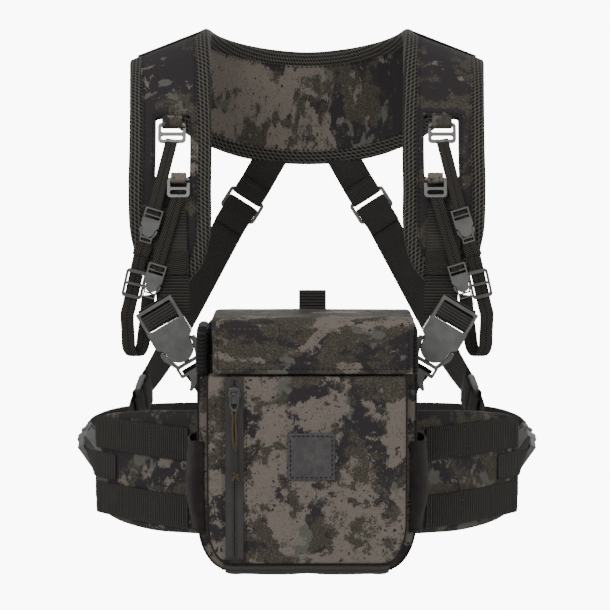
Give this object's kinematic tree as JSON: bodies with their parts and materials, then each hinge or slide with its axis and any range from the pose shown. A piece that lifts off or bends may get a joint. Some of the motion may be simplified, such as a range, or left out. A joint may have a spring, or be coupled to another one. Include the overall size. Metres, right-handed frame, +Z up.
{
  "type": "binocular harness pack",
  "caption": "Lidded chest pack for binoculars on a padded yoke harness, with front zip pocket, side pockets, tether straps, wide belt wings and a rear waist strap.",
  "frame": {"origin": "midway between the two shoulder crests, at the level where the pads rest on the wearer's shoulders", "axes": "+X across the wearer to the right as seen from the front, +Y from the pack's front towards the wearer's back, +Z up"},
  "size_m": [0.363, 0.3282, 0.3996],
  "materials": {
    "camo": "matt printed woven nylon",
    "spacer_mesh": "open spacer mesh",
    "back_mesh": "padded air mesh",
    "label_fabric": "plain woven fabric",
    "webbing": "ribbed nylon webbing",
    "tether_webbing": "herringbone nylon webbing",
    "dark_fabric": "plain dark fabric",
    "stretch": "ribbed stretch fabric",
    "coated_fabric": "coated fabric",
    "plastic": "fine moulded grain",
    "hook_metal": "dull metal",
    "slider_metal": "gunmetal",
    "pull_cord": "braided cord",
    "leather": "smooth leather",
    "magnet": "plated"
  },
  "bodies": {
    "pack": {"yoke_inner_face": "camo", "yoke_outer_face": "camo", "shoulder_face_left": "camo", "shoulder_face_right": "camo", "hook_tabs": "camo", "pack_shell": "camo", "front_pocket": "camo", "belt_wing_left": "camo", "belt_wing_right": "camo", "yoke_pad": "spacer_mesh", "shoulder_pad_left": "spacer_mesh", "shoulder_pad_right": "spacer_mesh", "back_panel": "back_mesh", "yoke_patch": "label_fabric", "strap_web_left": "webbing", "strap_web_right": "webbing", "pack_webs": "webbing", "molle_rows": "webbing", "belt_webs": "webbing", "yoke_webs": "webbing", "back_strap_left": "webbing", "back_strap_right": "webbing", "hip_webs": "webbing", "tether_straps_left": "tether_webbing", "tether_straps_right": "tether_webbing", "strap_keepers": "dark_fabric", "rim_gusset": "dark_fabric", "pack_lining": "dark_fabric", "side_pocket_left": "stretch", "side_pocket_right": "stretch", "base_strip": "coated_fabric", "zip_tape": "coated_fabric", "tether_sockets_left": "plastic", "tether_sockets_right": "plastic", "buckle_plug_left": "plastic", "buckle_plug_right": "plastic", "belt_socket_left": "plastic", "belt_socket_right": "plastic", "ladder_locks": "plastic", "g_hooks": "hook_metal", "leather_patch": "leather", "body_magnet": "magnet"},
    "lid": {"lid_shell": "camo", "pull_tab": "coated_fabric", "lid_magnet": "magnet"},
    "zip_slider": {"zip_slider": "slider_metal"},
    "zip_pull": {"zip_pull": "pull_cord"},
    "strap_buckle_left": {"buckle_socket_left": "plastic", "strap_loop_left": "webbing"},
    "strap_buckle_right": {"buckle_socket_right": "plastic", "strap_loop_right": "webbing"},
    "tether_left": {"tether_loop_left": "tether_webbing", "tether_plugs_left": "plastic"},
    "tether_right": {"tether_loop_right": "tether_webbing", "tether_plugs_right": "plastic"},
    "triglide_left": {"triglide_left": "plastic"},
    "triglide_right": {"triglide_right": "plastic"},
    "rear_belt": {"rear_strap": "webbing", "belt_plugs": "plastic"}
  },
  "joints": [
    {"name": "lid_hinge", "type": "hinge", "parent": "pack", "child": "lid", "pos_m": [0.004, -0.1865, -0.2259], "axis": [1, 0, 0], "range_deg": [0, 130]},
    {"name": "zip_slide", "type": "slide", "parent": "pack", "child": "zip_slider", "axis": [0, 0, -1], "range_m": [0, 0.108]},
    {"name": "pull_swing", "type": "hinge", "parent": "zip_slider", "child": "zip_pull", "pos_m": [-0.0515, -0.1924, -0.239], "axis": [-1, 0, 0], "range_deg": [0, 60]},
    {"name": "strap_buckle_left", "type": "slide", "parent": "pack", "child": "strap_buckle_left", "axis": [-0.515, 0, 0.8572], "range_m": [0, 0.026]},
    {"name": "strap_buckle_right", "type": "slide", "parent": "pack", "child": "strap_buckle_right", "axis": [0.515, 0, 0.8572], "range_m": [0, 0.026]},
    {"name": "tether_buckles_left", "type": "slide", "parent": "pack", "child": "tether_left", "axis": [-0.2924, 0, -0.9563], "range_m": [0, 0.014]},
    {"name": "triglide_left", "type": "slide", "parent": "tether_left", "child": "triglide_left", "axis": [0.2215, 0, 0.9751], "range_m": [-0.004, 0.01]},
    {"name": "tether_buckles_right", "type": "slide", "parent": "pack", "child": "tether_right", "axis": [0.2924, 0, -0.9563], "range_m": [0, 0.014]},
    {"name": "triglide_right", "type": "slide", "parent": "tether_right", "child": "triglide_right", "axis": [-0.2215, 0, 0.9751], "range_m": [-0.004, 0.01]},
    {"name": "belt_release", "type": "slide", "parent": "pack", "child": "rear_belt", "axis": [0, 0.9536, 0.3011], "range_m": [0, 0.022]}
  ]
}
